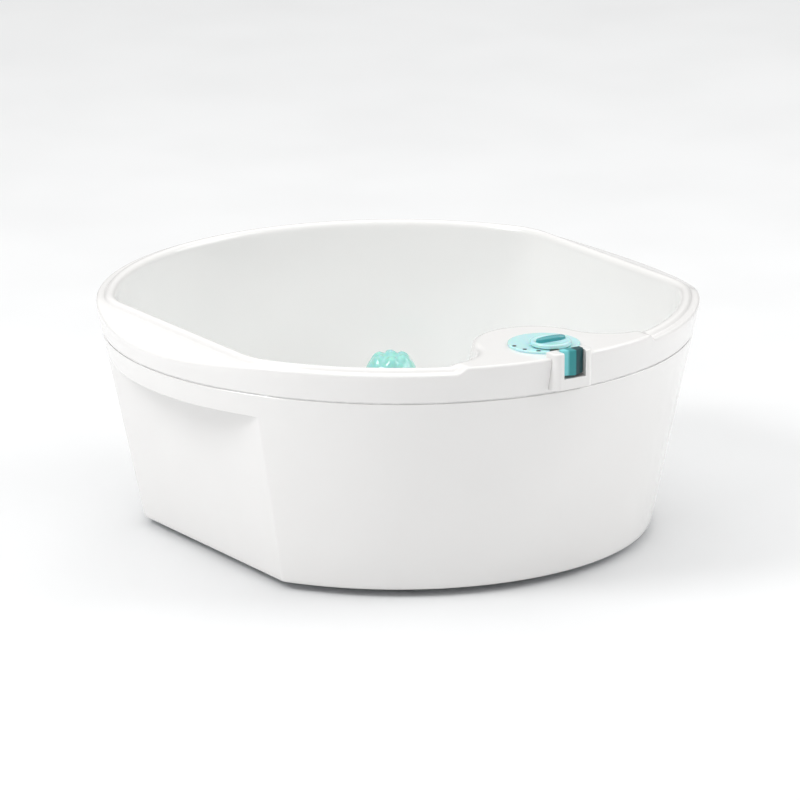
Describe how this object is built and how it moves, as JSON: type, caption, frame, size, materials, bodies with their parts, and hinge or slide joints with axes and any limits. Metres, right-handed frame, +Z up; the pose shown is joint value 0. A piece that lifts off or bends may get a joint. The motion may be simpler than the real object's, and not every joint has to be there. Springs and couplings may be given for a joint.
{
  "type": "foot spa basin",
  "caption": "Round foot spa basin with two flat sides under carrying ledges, a raised control deck with knob and rocker, foot rollers and a lift-off massage cap.",
  "frame": {"origin": "on the floor, under the centre of the tub", "axes": "+Z up; the control deck is at -Y and the mains inlet at +Y; the carrying ledges are along -X and +X"},
  "size_m": [0.4766, 0.4861, 0.202],
  "materials": {
    "white_shell": "glossy",
    "seam_gasket": "matt",
    "cover_plastic": "satin",
    "foot_rubber": "matt",
    "aqua_cap": "translucent, glossy",
    "teal_roller": "glossy",
    "tray_plastic": "satin",
    "steel": "brushed",
    "dial_aqua": "glossy",
    "teal_control": "translucent, glossy",
    "black_plastic": "satin",
    "brass": "satin",
    "blower_plastic": "satin",
    "motor_can": "satin",
    "hose_silicone": "matt",
    "aluminium": "satin",
    "board_green": "satin",
    "harness_black": "matt"
  },
  "bodies": {
    "basin": {"base_shell": "white_shell", "upper_tub": "white_shell", "rocker_bezel": "white_shell", "rim_gasket": "seam_gasket", "bottom_cover": "cover_plastic", "foot_front_left": "foot_rubber", "foot_front_right": "foot_rubber", "foot_back_left": "foot_rubber", "foot_back_right": "foot_rubber", "cover_screws": "steel", "tub_screws": "steel", "dial_plate": "dial_aqua", "rotary_switch": "black_plastic", "switch_nut": "brass", "rocker_pin": "steel", "rocker_switch": "black_plastic", "blower_housing": "blower_plastic", "blower_cover": "blower_plastic", "blower_motor": "motor_can", "blower_grommets": "foot_rubber", "blower_screws": "steel", "air_tee": "blower_plastic", "heat_plate": "aluminium", "heater_ring": "steel", "heater_clips": "steel", "thermostat": "black_plastic", "thermal_fuse": "steel", "vibration_bracket": "cover_plastic", "vibration_motor": "motor_can", "mains_inlet": "black_plastic", "inlet_pins": "brass", "control_board": "board_green", "board_components": "black_plastic", "board_screws": "steel", "wiring_harness": "harness_black", "roller_cradle_left": "tray_plastic", "bubble_panel_left": "tray_plastic", "air_hose_left": "hose_silicone", "roller_axle_front_left": "steel", "roller_axle_back_left": "steel", "roller_cradle_right": "tray_plastic", "bubble_panel_right": "tray_plastic", "air_hose_right": "hose_silicone", "roller_axle_front_right": "steel", "roller_axle_back_right": "steel"},
    "knob": {"function_knob": "teal_control", "switch_shaft": "steel"},
    "rocker": {"power_rocker": "teal_control"},
    "massage_cap": {"massage_cap": "aqua_cap"},
    "blower_rotor": {"blower_fan": "blower_plastic", "blower_shaft": "steel"},
    "vibration_rotor": {"eccentric_weight": "brass", "vibration_shaft": "steel"},
    "roller_front_left": {"massage_roller_front_left": "teal_roller"},
    "roller_back_left": {"massage_roller_back_left": "teal_roller"},
    "roller_front_right": {"massage_roller_front_right": "teal_roller"},
    "roller_back_right": {"massage_roller_back_right": "teal_roller"}
  },
  "joints": [
    {"name": "knob_turn", "type": "hinge", "parent": "basin", "child": "knob", "pos_m": [0, -0.212, 0.1975], "axis": [0, 0, 1], "range_deg": [0, 90]},
    {"name": "rocker_press", "type": "hinge", "parent": "basin", "child": "rocker", "pos_m": [0, -0.2395, 0.188], "axis": [1, 0, 0], "range_deg": [0, 8]},
    {"name": "massage_cap_lift", "type": "slide", "parent": "basin", "child": "massage_cap", "axis": [0, 0, 1], "range_m": [0, 0.092]},
    {"name": "roller_front_left_spin", "type": "hinge", "parent": "basin", "child": "roller_front_left", "pos_m": [-0.092, -0.026, 0.061], "axis": [1, 0, 0], "continuous": true},
    {"name": "roller_back_left_spin", "type": "hinge", "parent": "basin", "child": "roller_back_left", "pos_m": [-0.092, 0.05, 0.061], "axis": [1, 0, 0], "continuous": true},
    {"name": "roller_front_right_spin", "type": "hinge", "parent": "basin", "child": "roller_front_right", "pos_m": [0.092, -0.026, 0.061], "axis": [1, 0, 0], "continuous": true},
    {"name": "roller_back_right_spin", "type": "hinge", "parent": "basin", "child": "roller_back_right", "pos_m": [0.092, 0.05, 0.061], "axis": [1, 0, 0], "continuous": true},
    {"name": "blower_spin", "type": "hinge", "parent": "basin", "child": "blower_rotor", "pos_m": [0, -0.17, 0.03], "axis": [0, 0, 1], "continuous": true},
    {"name": "vibration_spin", "type": "hinge", "parent": "basin", "child": "vibration_rotor", "pos_m": [0, 0.01, 0.054], "axis": [0, 0, 1], "continuous": true}
  ]
}
